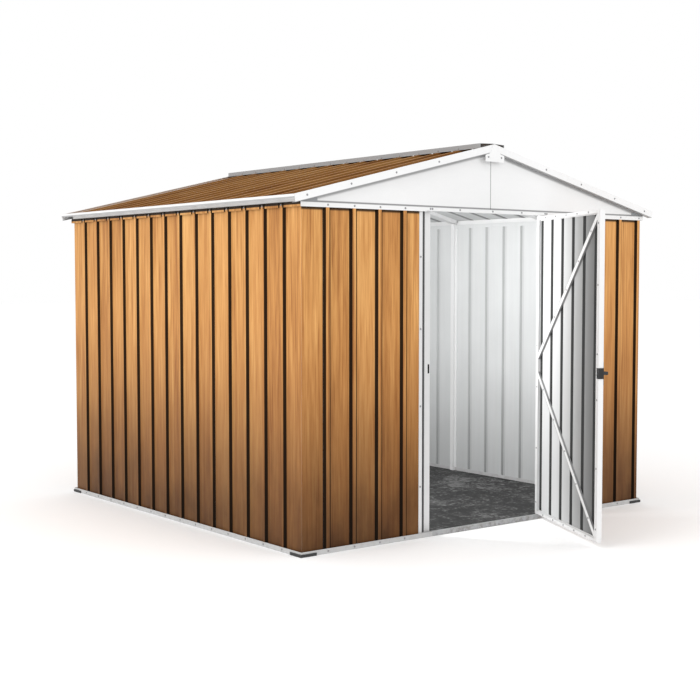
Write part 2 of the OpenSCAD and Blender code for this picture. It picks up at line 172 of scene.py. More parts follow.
class Finish:
    """One material's node tree, built node by node."""

    def __init__(self, name):
        self.material = bpy.data.materials.new(name)
        self.material.use_nodes = True
        self.tree = self.material.node_tree
        self.tree.nodes.clear()

    def make(self, kind, settings=None, inputs=None, output=0):
        """Add a node: its settings first, then the values or links of its sockets."""
        node = self.tree.nodes.new(kind)
        for key, value in (settings or {}).items():
            if key == "stops":
                ramp = node.color_ramp
                while len(ramp.elements) < len(value):
                    ramp.elements.new(0.5)
                for element, (place, colour) in zip(ramp.elements, value):
                    element.position = place
                    element.color = (*colour, 1.0)
            else:
                setattr(node, key, value)
        for key, value in (inputs or {}).items():
            if isinstance(value, Sock):
                self.tree.links.new(value.socket, node.inputs[key])
            else:
                node.inputs[key].default_value = value
        return Sock(self, node.outputs[output])

    def place(self):
        return self.make("ShaderNodeTexCoord", output="Object")

    def facing(self):
        return self.make("ShaderNodeTexCoord", output="Normal")

    def split(self, vector):
        node = self.tree.nodes.new("ShaderNodeSeparateXYZ")
        self.tree.links.new(vector.socket, node.inputs[0])
        return [Sock(self, node.outputs[i]) for i in range(3)]

    def join(self, x, y, z):
        return self.make("ShaderNodeCombineXYZ", {}, {0: x, 1: y, 2: z})

    def noise(self, vector, scale, detail=2.0, roughness=0.5, distortion=0.0):
        return self.make(
            "ShaderNodeTexNoise",
            {},
            {"Vector": vector, "Scale": scale, "Detail": detail, "Roughness": roughness, "Distortion": distortion},
        )

    def smooth(self, value, low, high, to_low=0.0, to_high=1.0):
        return self.make(
            "ShaderNodeMapRange",
            {"interpolation_type": "SMOOTHSTEP"},
            {"Value": value, "From Min": low, "From Max": high, "To Min": to_low, "To Max": to_high},
        )

    def mix(self, factor, first, second):
        node = self.tree.nodes.new("ShaderNodeMix")
        node.data_type = "RGBA"
        for socket, value in ((node.inputs[0], factor), (node.inputs[6], first), (node.inputs[7], second)):
            if isinstance(value, Sock):
                self.tree.links.new(value.socket, socket)
            elif isinstance(value, (int, float)):
                socket.default_value = value
            else:
                socket.default_value = (*value[:3], 1.0)
        return Sock(self, node.outputs[2])

    def ramp(self, value, stops):
        return self.make("ShaderNodeValToRGB", {"stops": stops}, {0: value})

    def bump(self, height, strength, distance):
        return self.make(
            "ShaderNodeBump", {}, {"Height": height, "Strength": strength, "Distance": distance}
        )

    def surface(self, **inputs):
        """The closing shader: sockets by name with spaces for underscores."""
        node = self.make(
            "ShaderNodeBsdfPrincipled", {}, {key.replace("_", " "): value for key, value in inputs.items()}
        )
        out = self.tree.nodes.new("ShaderNodeOutputMaterial")
        self.tree.links.new(node.socket, out.inputs[0])
        return self.material


# ---------------------------------------------------------------- finishes


def plank_print(fin, across, along, bay, settings):
    """Colour and relief of the wood-grain print: streaks along the sheet, one tone to a bay."""
    shift = fin.make("ShaderNodeTexWhiteNoise", {"noise_dimensions": "1D"}, {"W": bay})
    shift_b = fin.make("ShaderNodeTexWhiteNoise", {"noise_dimensions": "1D"}, {"W": bay + 31.7})
    lane = fin.join(across * 1.0, along * 0.045 + shift * 7.0, bay * 0.37)
    broad = fin.noise(lane, 40.0, 4.0, 0.6, 0.25)
    fine_lane = fin.join(across * 1.0, along * 0.016 + shift_b * 5.0, bay * 0.53)
    fine = fin.noise(fine_lane, 230.0, 4.0, 0.65, 0.1)
    line_lane = fin.join(across * 1.0, along * 0.006 + shift_b * 3.0, bay * 0.91)
    lines = fin.noise(line_lane, 120.0, 2.0, 0.4, 0.0)
    dark_line = fin.smooth(lines, 0.60, 0.72)
    cloud = fin.noise(fin.join(across, along * 0.35, bay * 0.2), 3.4, 2.0, 0.5)
    tone = 0.55 + (broad - 0.5) * 1.05 + (fine - 0.5) * 0.75 + (shift - 0.5) * 0.24 + (cloud - 0.5) * 0.25
    tone = (tone - dark_line * 0.20).clamp()
    light, middle, dark = settings.print_light, settings.print_middle, settings.print_dark
    colour = fin.ramp(tone, [(0.12, dark), (0.5, middle), (0.86, light)])
    redder = fin.mix(shift_b * 0.35, colour, fin.mix(0.5, colour, settings.print_red))
    return redder, fine, tone


def inner_paint(fin, place, recess, settings):
    """Plain light coating on the inner side of every sheet, with painted shade mixed in by the recess mask."""
    x, y, z = fin.split(place)
    streak = fin.noise(fin.join(x * 1.0, y * 1.0, z * 0.04), 42.0, 3.0, 0.5)
    haze = fin.noise(place, 2.2, 3.0, 0.55)
    mask = ((streak - 0.5) * 0.7 + (haze - 0.5) * 1.1 + 0.5).clamp()
    low = [c * 0.86 for c in settings.inner_colour]
    plain = fin.mix(mask, low, list(settings.inner_colour))
    return fin.mix(recess, plain, settings.recess_shade_colour), streak


def printed_steel(name, kind, settings):
    """Wood-print steel outside, plain coating with painted shade inside; kind is wall, roof or door."""
    fin = Finish(name)
    place, facing = fin.place(), fin.facing()
    x, y, z = fin.split(place)
    nx, ny, nz = fin.split(facing)
    if kind == "roof":
        across, along = y, x
        coord = (y + HALF_D) / PITCH
        bay = coord.floor() + (x > 0) * 40
        pitch, crest, last = PITCH, 0.011, 14.5
        outward = nz
        depth = fin.make("ShaderNodeMath", {"operation": "MULTIPLY"}, {0: abs(x), 1: math.tan(ROOF_SLOPE)})
        depth = (CREST_TOP - z - depth) * math.cos(ROOF_SLOPE)
    elif kind == "door":
        c, s = math.cos(DOOR_OPEN), math.sin(DOOR_OPEN)
        across = (x - PIN.x) * -c + (y - PIN.y) * -s
        along = z
        coord = (across - 0.043) / 0.152 + 1
        bay = coord.floor() + 90
        pitch, crest, last = 0.152, 0.011, 5.9
        outward = nx * s - ny * c
        depth = (x - PIN.x) * -s + (y - PIN.y) * c + 0.0085
    else:
        on_end = (abs(y) - HALF_D) > (abs(x) - HALF_W)
        on_side = 1 - on_end
        across = x * on_end + y * on_side
        along = z
        right = x > 0
        front = y < 0
        front_bay = (HALF_W - abs(x) - right * (RIGHT_RIB - PITCH)) / PITCH
        back_bay = (x + HALF_W) / BACK_PITCH
        side_bay = (y + HALF_D) / PITCH
        coord = on_end * (front * front_bay + (1 - front) * back_bay) + on_side * side_bay
        bay = coord.floor() + right * 23 + on_end * 57 + front * 11
        pitch, crest, last = PITCH, 0.011, 14.5
        outward = ny * y.sign() * on_end + nx * x.sign() * on_side
        depth = on_end * (HALF_D - abs(y)) + on_side * (HALF_W - abs(x))
    colour, grain, tone = plank_print(fin, across, along, bay, settings)
    # The print turns redder and darker brown towards the bottom
    if kind != "roof":
        warm = fin.smooth(z, 1.55, 0.15)
        colour = fin.mix(warm * 0.55, colour, fin.mix(0.5, colour, settings.print_red))
        low = fin.smooth(z, 1.30, -0.10)
        blotch = fin.noise(fin.join(x, y, z * 0.5), 5.0, 4.0, 0.6)
        low_darkening = (low * (0.72 + 0.55 * blotch) * settings.low_browning).clamp()
        colour = fin.mix(low_darkening, colour, fin.mix(0.93, colour, settings.dark_brown_colour))
        # Painted shadow under the lintel: the top of the hollows between the ribs on the front walls is darkened
        eave = fin.smooth(z, WALL_TOP - 0.044, WALL_TOP - 0.034) * (depth > 0.008)
        if kind == "wall":
            colour = fin.mix(eave * on_end * front * 0.9, colour, settings.joint_and_shadow_colour)
    # A dark joint is printed down both sides of every rib
    from_rib = abs((coord + 0.5).fract() - 0.5) * pitch
    within = (coord > 0.5) * (coord < last)
    joint = fin.smooth(from_rib, crest - 0.001, crest + 0.001) * fin.smooth(from_rib, crest + 0.0165, crest + 0.0125)
    joint = joint * within * (outward > 0.2)
    strength = settings.joint_depth * (0.62 if kind == "roof" else 1.0)
    colour = fin.mix(joint * strength, colour, settings.joint_and_shadow_colour)
    if kind == "roof":
        colour = fin.mix(0.30, colour, settings.dark_brown_colour)
    # Painted shadow: a near-black band along the top of the side and back top rails, under the eave trims
    if kind == "rail":
        colour = fin.mix((z > WALL_TOP - 0.015) * 0.97, colour, settings.joint_and_shadow_colour)
    # Painted shade on the inner side: the hollows of the ribs and their steep flanks are darkened
    hollow = (1 - fin.smooth(depth, 0.004, 0.0135)) * (outward < 0.02)
    steep = (abs(outward) < 0.92) * (outward < 0.02)
    if kind == "door":
        # Painted shade: the inner coating greys from the pin towards the free edge
        away = fin.smooth(across, 0.14, 0.93)
        hollow = (hollow * 0.85 + steep * 0.25 + away * 0.92 * (1 - hollow)).clamp()
    elif kind == "wall":
        # Walls inside: painted shade in the hollows and on the flanks, and darker towards the bottom
        hollow = (hollow * 0.12 + steep * 0.30 + fin.smooth(z, 0.95, 0.0) * 0.22).clamp()
    else:
        # Roof inside: painted shade in the hollows and on the flanks
        hollow = (hollow * 0.35 + steep * 0.45).clamp()
    plain, streak = inner_paint(fin, place, hollow, settings)
    if kind == "door":
        # Painted light: where the painted shade is least, near the pin, the coating is pushed to near white
        plain = fin.mix((1 - hollow) ** 2 * 0.85, plain, (0.95, 0.95, 0.95))
    outside = outward > 0.02
    base = fin.mix(outside, plain, colour)
    rough = outside * (0.42 + 0.16 * grain + joint * 0.4) + (1 - outside) * (0.42 + 0.1 * streak)
    relief = grain * outside * 0.6 + fin.noise(place, 14.0, 2.0) * 0.8
    gloss = {"Specular_IOR_Level": 0.05}
    if kind != "roof":
        gloss = {"Specular_IOR_Level": 0.14, "Coat_Weight": outside * (1 - joint) * 0.04, "Coat_Roughness": 0.3}
    return fin.surface(Base_Color=base, Roughness=rough, Normal=fin.bump(relief, 0.22, 0.0006), **gloss)


def painted(name, colour, roughness, wear=0.5, dirt=0.25, metal=0.0, lines=None):
    """Paint on folded steel: faint run of tone, dull patches, grime near the ground, and painted shade along the
    given lines.
    """
    fin = Finish(name)
    place = fin.place()
    x, y, z = fin.split(place)
    cloud = fin.noise(place, 3.0, 4.0, 0.55)
    speck = fin.noise(place, 160.0, 2.0, 0.5)
    drawn = fin.noise(fin.join(x * 0.2, y * 0.2, z * 1.0), 60.0, 2.0)
    tone = ((cloud - 0.5) * wear + (speck - 0.5) * 0.18 + (drawn - 0.5) * 0.12 + 0.62).clamp()
    darker = [c * 0.80 for c in colour]
    base = fin.mix(tone, darker, list(colour))
    low = fin.smooth(z, 0.10, 0.0) * dirt
    splash = fin.smooth(fin.noise(place, 28.0, 5.0, 0.65), 0.42, 0.66)
    base = fin.mix((low * (0.35 + splash)).clamp(), base, (0.16, 0.14, 0.12))
    if lines:
        # Painted shade: the lines darken folds, hems, grooves and strips under trims
        base = fin.mix(lines(fin, x, y, z), base, (0.045, 0.045, 0.047))
    rough = roughness + (cloud - 0.5) * 0.16 + (speck - 0.5) * 0.08
    return fin.surface(
        Base_Color=base,
        Metallic=metal,
        Roughness=rough,
        Normal=fin.bump(cloud + speck * 0.25, 0.12, 0.0008),
    )


def below_crests(x, z):
    """Distance below the plane of the roof's ribs."""
    return (CREST_TOP - z - abs(x) * math.tan(ROOF_SLOPE)) * math.cos(ROOF_SLOPE)


def gable_lines(fin, x, y, z):
    """Seam on the centre line, the shaded strip under the rake trims and the one on the lintel."""
    seam = abs(x) < 0.0022
    under = fin.smooth(below_crests(x, z), 0.060, 0.046) * 0.55
    foot = fin.smooth(z, WALL_TOP + 0.009, WALL_TOP + 0.004) * 0.7
    return (seam * 0.72 + under + foot).clamp()


def rake_hem_shade(fin, x, y, z):
    """Painted shade: a thin dark line along the folded lower edge of the rake trims."""
    return fin.smooth(below_crests(x, z), 0.0352, 0.0364) * 0.6


def eave_lines(fin, x, y, z):
    """Shaded lower return of the eave trims."""
    return fin.smooth(z, EAVE_LOW.z + 0.0095, EAVE_LOW.z + 0.0065) * 0.55


def brace_edge_shade(fin, x, y, z):
    """Painted shade along the folded edges on both sides of the door's braces."""
    across = (x - PIN.x) * -math.cos(DOOR_OPEN) + (y - PIN.y) * -math.sin(DOOR_OPEN)
    upper = abs(z - 0.963 - (across - 0.021) * 0.945) * 0.7268
    lower = abs(z - 0.849 + (across - 0.021) * 0.957) * 0.7224
    high = z > 0.906
    return ((upper * high + lower * (1 - high)) > 0.0118) * 0.72


def lintel_fold_shade(fin, x, y, z):
    """Painted shade along the folded top edge of the lintel."""
    return fin.smooth(z, WALL_TOP - 0.0035, WALL_TOP - 0.0025) * 0.6


def jamb_groove_shade(fin, x, y, z):
    """Painted shade in the narrow groove down each jamb and on the strip of face beside it."""
    return (abs(x) > 0.4700) * (abs(x) < 0.5015) * (y > FRONT_Y + 0.020) * (y < FRONT_Y + 0.060) * 0.95


def floor_finish(name, settings):
    """Dark mottled floor with worn lighter patches and a low sheen."""
    fin = Finish(name)
    place = fin.place()
    big = fin.noise(place, 1.7, 5.0, 0.6, 0.9)
    mid = fin.noise(place, 7.5, 6.0, 0.62, 1.6)
    small = fin.noise(place, 48.0, 4.0, 0.6)
    tone = (big * 0.45 + mid * 0.55 + (small - 0.5) * 0.5).clamp()
    dark = [c * 0.35 for c in settings.floor_colour]
    pale = [min(1.0, c * 4.5) for c in settings.floor_colour]
    base = fin.ramp(tone, [(0.38, dark), (0.50, list(settings.floor_colour)), (0.62, pale)])
    return fin.surface(
        Base_Color=base,
        Specular_IOR_Level=0.2,
        Roughness=0.40 + 0.4 * tone,
        Normal=fin.bump(mid + small * 0.4, 0.35, 0.0012),
    )


def moulded(name, colour, roughness):
    """Moulded black plastic with a fine spark texture and scuffs."""
    fin = Finish(name)
    place = fin.place()
    scuff = fin.smooth(fin.noise(place, 38.0, 5.0, 0.7, 0.6), 0.55, 0.75)
    spark = fin.noise(place, 900.0, 1.0)
    base = fin.mix(scuff * 0.35, list(colour), [min(1.0, c + 0.11) for c in colour])
    return fin.surface(
        Base_Color=base,
        Roughness=roughness + scuff * 0.15,
        Normal=fin.bump(spark, 0.25, 0.0003),
    )


def plated(name, colour, roughness):
    """Zinc plate on screws and pins, slightly clouded."""
    fin = Finish(name)
    place = fin.place()
    cloud = fin.noise(place, 210.0, 3.0, 0.6)
    base = fin.mix(cloud, [c * 0.62 for c in colour], list(colour))
    return fin.surface(Base_Color=base, Metallic=0.75, Roughness=roughness + cloud * 0.2)


def dress(material, *names):
    """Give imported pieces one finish."""
    for name in names:
        mesh = NODES[name].data
        mesh.materials.clear()
        mesh.materials.append(material)


# ---------------------------------------------------------------- settings


class ShedFinishSettings(bpy.types.PropertyGroup):
    """Colours of the shed's sheets, trims and floor."""

    print_light: bpy.props.FloatVectorProperty(
        name="Print, light", description="Lightest tone of the wood print",
        subtype="COLOR", size=3, default=(0.790, 0.430, 0.150), min=0, max=1)
    print_middle: bpy.props.FloatVectorProperty(
        name="Print, middle", description="Main tone of the wood print",
        subtype="COLOR", size=3, default=(0.555, 0.258, 0.076), min=0, max=1)
    print_dark: bpy.props.FloatVectorProperty(
        name="Print, dark", description="Darkest streaks of the wood print",
        subtype="COLOR", size=3, default=(0.250, 0.086, 0.020), min=0, max=1)
    print_red: bpy.props.FloatVectorProperty(
        name="Print, red", description="Redder tone that some bays lean to",
        subtype="COLOR", size=3, default=(0.480, 0.165, 0.040), min=0, max=1)
    dark_brown_colour: bpy.props.FloatVectorProperty(
        name="Stain", description="Dark brown that the print turns to near the ground",
        subtype="COLOR", size=3, default=(0.040, 0.014, 0.004), min=0, max=1)
    # Painted shade: the dark grey of the ribs' hollows and flanks inside, and of the door's coating towards its free
    # edge
    recess_shade_colour: bpy.props.FloatVectorProperty(
        name="Hollows", description="Dark grey in the hollows of the ribs, inside",
        subtype="COLOR", size=3, default=(0.045, 0.046, 0.046), min=0, max=1)
    # Also the near-black of the painted shadows under the lintel and along the top of the side and back rails
    joint_and_shadow_colour: bpy.props.FloatVectorProperty(
        name="Joint", description="Dark joint printed on the flanks of the ribs",
        subtype="COLOR", size=3, default=(0.006, 0.003, 0.001), min=0, max=1)
    joint_depth: bpy.props.FloatProperty(
        name="Joint strength", description="How dark the joints are", default=0.97, min=0, max=1)
    low_browning: bpy.props.FloatProperty(
        name="Browning low down", description="How much browner the print is near the ground",
        default=0.95, min=0, max=1.5)
    inner_colour: bpy.props.FloatVectorProperty(
        name="Inner coating", description="Coating on the inner side of the sheets",
        subtype="COLOR", size=3, default=(0.72, 0.73, 0.73), min=0, max=1)
    trim_colour: bpy.props.FloatVectorProperty(
        name="Trims", description="White paint on trims, rails and gables",
        subtype="COLOR", size=3, default=(0.86, 0.86, 0.86), min=0, max=1)
    ridge_colour: bpy.props.FloatVectorProperty(
        name="Ridge cap", description="Grey paint on the ridge cap",
        subtype="COLOR", size=3, default=(0.36, 0.37, 0.38), min=0, max=1)
    floor_colour: bpy.props.FloatVectorProperty(
        name="Floor", description="Mottled floor inside",
        subtype="COLOR", size=3, default=(0.034, 0.034, 0.0335), min=0, max=1)


class ShedScrewSettings(bpy.types.PropertyGroup):
    """Sizes of the screws."""

    head_radius: bpy.props.FloatProperty(
        name="Head radius", description="Radius of a screw head",
        default=0.0040, min=0.002, max=0.012, subtype="DISTANCE", unit="LENGTH")
    head_height: bpy.props.FloatProperty(
        name="Head height", description="Height of a screw head",
        default=0.0026, min=0.001, max=0.006, subtype="DISTANCE", unit="LENGTH")
    washer_radius: bpy.props.FloatProperty(
        name="Washer radius", description="Radius of the washer under it",
        default=0.0058, min=0.003, max=0.02, subtype="DISTANCE", unit="LENGTH")
    washer_height: bpy.props.FloatProperty(
        name="Washer height", description="Height of the washer",
        default=0.0010, min=0.0003, max=0.003, subtype="DISTANCE", unit="LENGTH")
    bracket_length: bpy.props.FloatProperty(
        name="Bracket length", description="Length of the eave brackets",
        default=0.105, min=0.04, max=0.2, subtype="DISTANCE", unit="LENGTH")
    bracket_height: bpy.props.FloatProperty(
        name="Bracket height", description="Height of the eave brackets",
        default=0.020, min=0.01, max=0.024, subtype="DISTANCE", unit="LENGTH")


class ShedStudioSettings(bpy.types.PropertyGroup):
    """Floor, lights and camera of the studio."""

    floor_tone: bpy.props.FloatProperty(
        name="Floor tone", description="Lightness of the studio floor", default=0.93, min=0, max=1)
    floor_lift: bpy.props.FloatProperty(
        name="Floor lift", description="Own light of the studio floor, which keeps it white", default=0.10, min=0, max=1)
    key_power: bpy.props.FloatProperty(
        name="Key light", description="Power of the large light on the left",
        default=185.0, min=0, max=5000, unit="POWER")
    front_power: bpy.props.FloatProperty(
        name="Front light", description="Power of the soft light in front of the gable",
        default=92.0, min=0, max=5000, unit="POWER")
    inside_power: bpy.props.FloatProperty(
        name="Inside light", description="Power of the light that hangs inside, out of sight",
        default=42.0, min=0, max=500, unit="POWER")
    camera_place: bpy.props.FloatVectorProperty(
        name="Camera", description="Place of the camera", subtype="TRANSLATION", unit="LENGTH",
        size=3, default=(-5.0693, -6.5011, 1.4173))
    camera_turn: bpy.props.FloatProperty(
        name="Heading", description="Turn of the camera from looking along +Y towards +X",
        default=math.radians(37.943), subtype="ANGLE", unit="ROTATION")
    camera_dip: bpy.props.FloatProperty(
        name="Dip", description="How far the camera looks down",
        default=math.radians(3.231), subtype="ANGLE", unit="ROTATION")
    camera_lens: bpy.props.FloatProperty(
        name="Lens", description="Focal length on a 36 mm sensor", default=65.866, min=10, max=300)


# ---------------------------------------------------------------- screws


def screw_tree(material):
    """Geometry nodes that seat a washer and a pan head on every point, along its facing."""
    tree = bpy.data.node_groups.new("screws_on_points", "GeometryNodeTree")
    face = tree.interface
    face.new_socket("Geometry", in_out="INPUT", socket_type="NodeSocketGeometry")
    for label, value in (
        ("Head radius", 0.005), ("Head height", 0.0026), ("Washer radius", 0.008), ("Washer height", 0.001),
    ):
        socket = face.new_socket(label, in_out="INPUT", socket_type="NodeSocketFloat")
        socket.default_value = value
    face.new_socket("Geometry", in_out="OUTPUT", socket_type="NodeSocketGeometry")
    nodes, links = tree.nodes, tree.links
    entry, exit_ = nodes.new("NodeGroupInput"), nodes.new("NodeGroupOutput")

    def cylinder(radius, depth, top_scale, lift):
        body = nodes.new("GeometryNodeMeshCone")
        body.inputs["Vertices"].default_value = 12
        body.inputs["Side Segments"].default_value = 1
        links.new(radius, body.inputs["Radius Bottom"])
        scale = nodes.new("ShaderNodeMath")
        scale.operation = "MULTIPLY"
        links.new(radius, scale.inputs[0])
        scale.inputs[1].default_value = top_scale
        links.new(scale.outputs[0], body.inputs["Radius Top"])
        links.new(depth, body.inputs["Depth"])
        move = nodes.new("GeometryNodeTransform")
        links.new(body.outputs["Mesh"], move.inputs["Geometry"])
        if lift is not None:
            up = nodes.new("ShaderNodeCombineXYZ")
            links.new(lift, up.inputs["Z"])
            links.new(up.outputs[0], move.inputs["Translation"])
        return move.outputs[0]

    washer = cylinder(entry.outputs["Washer radius"], entry.outputs["Washer height"], 0.94, None)
    shoulder = nodes.new("ShaderNodeMath")
    shoulder.operation = "MULTIPLY"
    shoulder.inputs[1].default_value = 0.55
    links.new(entry.outputs["Head height"], shoulder.inputs[0])
    lower = cylinder(entry.outputs["Head radius"], shoulder.outputs[0], 0.95, entry.outputs["Washer height"])
    above = nodes.new("ShaderNodeMath")
    above.operation = "ADD"
    links.new(entry.outputs["Washer height"], above.inputs[0])
    links.new(shoulder.outputs[0], above.inputs[1])
    crown_h = nodes.new("ShaderNodeMath")
    crown_h.operation = "SUBTRACT"
    links.new(entry.outputs["Head height"], crown_h.inputs[0])
    links.new(shoulder.outputs[0], crown_h.inputs[1])
    crown_r = nodes.new("ShaderNodeMath")
    crown_r.operation = "MULTIPLY"
    crown_r.inputs[1].default_value = 0.95
    links.new(entry.outputs["Head radius"], crown_r.inputs[0])
    crown = cylinder(crown_r.outputs[0], crown_h.outputs[0], 0.55, above.outputs[0])
    joined = nodes.new("GeometryNodeJoinGeometry")
    for part in (washer, lower, crown):
        links.new(part, joined.inputs[0])
    attribute = nodes.new("GeometryNodeInputNamedAttribute")
    attribute.data_type = "FLOAT_VECTOR"
    attribute.inputs["Name"].default_value = "facing"
    turn = nodes.new("FunctionNodeAlignRotationToVector")
    turn.axis = "Z"
    links.new(attribute.outputs["Attribute"], turn.inputs["Vector"])
    seat = nodes.new("GeometryNodeInstanceOnPoints")
    links.new(entry.outputs["Geometry"], seat.inputs["Points"])
    links.new(joined.outputs[0], seat.inputs["Instance"])
    links.new(turn.outputs[0], seat.inputs["Rotation"])
    real = nodes.new("GeometryNodeRealizeInstances")
    links.new(seat.outputs[0], real.inputs[0])
    skin = nodes.new("GeometryNodeSetMaterial")
    skin.inputs["Material"].default_value = material
    links.new(real.outputs[0], skin.inputs["Geometry"])
    links.new(skin.outputs[0], exit_.inputs[0])
    return tree


def drive_screws(name, body, spots, tree, material, sizes):
    """Turn points with facings into one plain mesh of screws that rides on a body."""
    mesh = bpy.data.meshes.new(name)
    mesh.from_pydata([tuple(p) for p, _ in spots], [], [])
    attribute = mesh.attributes.new("facing", "FLOAT_VECTOR", "POINT")
    for item, (_, facing) in zip(attribute.data, spots):
        item.vector = facing
    seed = bpy.data.objects.new(name + "_points", mesh)
    bpy.context.scene.collection.objects.link(seed)
    modifier = seed.modifiers.new("screws", "NODES")
    modifier.node_group = tree
    values = {
        "Head radius": sizes.head_radius, "Head height": sizes.head_height,
        "Washer radius": sizes.washer_radius, "Washer height": sizes.washer_height,
    }
    for item in tree.interface.items_tree:
        if item.in_out == "INPUT" and item.name in values:
            modifier[item.identifier] = values[item.name]
    graph = bpy.context.evaluated_depsgraph_get()
    made = bpy.data.meshes.new_from_object(seed.evaluated_get(graph), depsgraph=graph)
    seed.modifiers.remove(modifier)
    bpy.data.objects.remove(seed)
    made.name = name
    made.materials.clear()
    made.materials.append(material)
    if "facing" in made.attributes:
        made.attributes.remove(made.attributes["facing"])
    if not made.polygons:
        raise RuntimeError(f"{name} came out empty")
    piece = bpy.data.objects.new(name, made)
    bpy.context.scene.collection.objects.link(piece)
    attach(piece, body)
    return piece


def rail_spots():
    """Screws of the base and top rails, one at each rib crest."""
    spots = []
    left = Vector((-1, 0, 0))
    front = Vector((0, -1, 0))
    for z in (RAIL_MID, WALL_TOP - 0.0135):
        for i in range(1, SIDE_BAYS):
            y = -HALF_D + i * PITCH
            spots.append((Vector((-HALF_W, y, z)), left))
            spots.append((Vector((HALF_W, y, z)), -left))
        for i in range(1, 15):
            spots.append((Vector((-HALF_W + i * BACK_PITCH, HALF_D, z)), -front))
        for i in range(4):
            spots.append((Vector((-HALF_W + (i + 1) * PITCH, -HALF_D, z)), front))
            spots.append((Vector((HALF_W - RIGHT_RIB - (i + 1) * PITCH, -HALF_D, z)), front))
        spots.append((Vector((HALF_W - RIGHT_RIB, -HALF_D, z)), front))
    for x in (-0.452, -0.438, 0.438, 0.452, -0.235, 0.015, 0.245):
        spots.append((Vector((x, -HALF_D, WALL_TOP - 0.011)), front))
    return spots


def jamb_spots():
    """Screws down the flange of each jamb."""
    front = Vector((0, -1, 0))
    strip = node_box("left_jamb")[0]
    x = strip.x + 0.0105
    spots = []
    for z in (0.28, 0.72, 1.14, 1.53):
        spots.append((Vector((x, strip.y, z)), front))
        spots.append((Vector((-x, strip.y, z)), front))
    return spots


def roof_spots():
    """Screws of the ridge cap, rake trims and apex plates."""
    spots = []
    for side in (-1, 1):
        for i in range(1, SIDE_BAYS):
            y = -HALF_D + i * PITCH
            spots.append((Vector((side * CAP_HIGH.x, y, CAP_LOW.z + 0.008)), Vector((side, 0, 0))))
    for end in (-1, 1):
        facing = Vector((0, end, 0))
        y = RAKE_HIGH.y - 0.0014 if end > 0 else RAKE_LOW.y
        for side in (-1, 1):
            for x in (0.42, 0.72, 1.02, 1.30):
                p, _ = on_roof(side * x, y, -0.017)
                spots.append((Vector((p.x, y, p.z)), facing))
            low, high = node_box("apex_plates")
            if end < 0:
                spots.append((Vector((side * 0.050, low.y, high.z - 0.068)), facing))
    return spots


def door_spots():
    """Screws of the door's braces, stiles and rails, on its inner side, and of its pull."""
    spots = []
    inner = LEAF_IN
    n = LEAF_INWARD
    for z_hinge, z_free in ((0.963, 1.738), (0.849, 0.064)):
        for k in (0.10, 0.30, 0.50, 0.70, 0.90):
            along = 0.021 + k * 0.820
            z = z_hinge + k * (z_free - z_hinge)
            spots.append((on_leaf(along, inner - 0.001, z), n))
    for z in (0.10, 0.42, 0.78, 1.02, 1.38, 1.70):
        spots.append((on_leaf(0.0045, inner, z), n))
        spots.append((on_leaf(0.8575, inner, z), n))
    for i in range(5):
        along = 0.118 + i * 0.152
        spots.append((on_leaf(along, inner, 0.041), n))
        spots.append((on_leaf(along, inner, 1.761), n))
    for dz in (-0.048, 0.048):
        spots.append((on_leaf(LEAF - 0.0165, -LEAF_OUT - 0.0043, 0.920 + dz), -n))
    return spots


# ---------------------------------------------------------------- eave brackets


def folded_angle(mesh_name, corners):
    """Small flat plates, one at each corner, with softened edges."""
    mesh = bpy.data.meshes.new(mesh_name)
    shape = bmesh.new()
    for low, high in corners:
        made = bmesh.ops.create_cube(shape, size=1.0)["verts"]
        for vert in made:
            vert.co = Vector([low[i] + (vert.co[i] + 0.5) * (high[i] - low[i]) for i in range(3)])
    bmesh.ops.bevel(shape, geom=list(shape.edges), offset=0.0006, segments=2, affect="EDGES", profile=0.5)
    bmesh.ops.recalc_face_normals(shape, faces=shape.faces)
    shape.to_mesh(mesh)
    shape.free()
    return mesh


# ---------------------------------------------------------------- operators


class SHED_OT_finish_sheets(bpy.types.Operator):
    """Print the ribbed wall, roof and door sheets."""

    bl_idname = "shed.finish_sheets"
    bl_label = "Finish ribbed sheets"

    def execute(self, context):
        settings = context.scene.shed_finish
        walls = [
            "front_left_corner_sheet", "front_right_corner_sheet", "back_left_corner_sheet",
            "back_right_corner_sheet", "front_left_sheet", "front_right_sheet",
            "left_wall_sheet", "right_wall_sheet", "back_wall_sheet",
        ]
        dress(printed_steel("wood_print_walls", "wall", settings), *walls)
        dress(printed_steel("wood_print_roof", "roof", settings), "left_roof_sheet", "right_roof_sheet")
        dress(printed_steel("wood_print_door", "door", settings), "door_sheet")
        return {"FINISHED"}


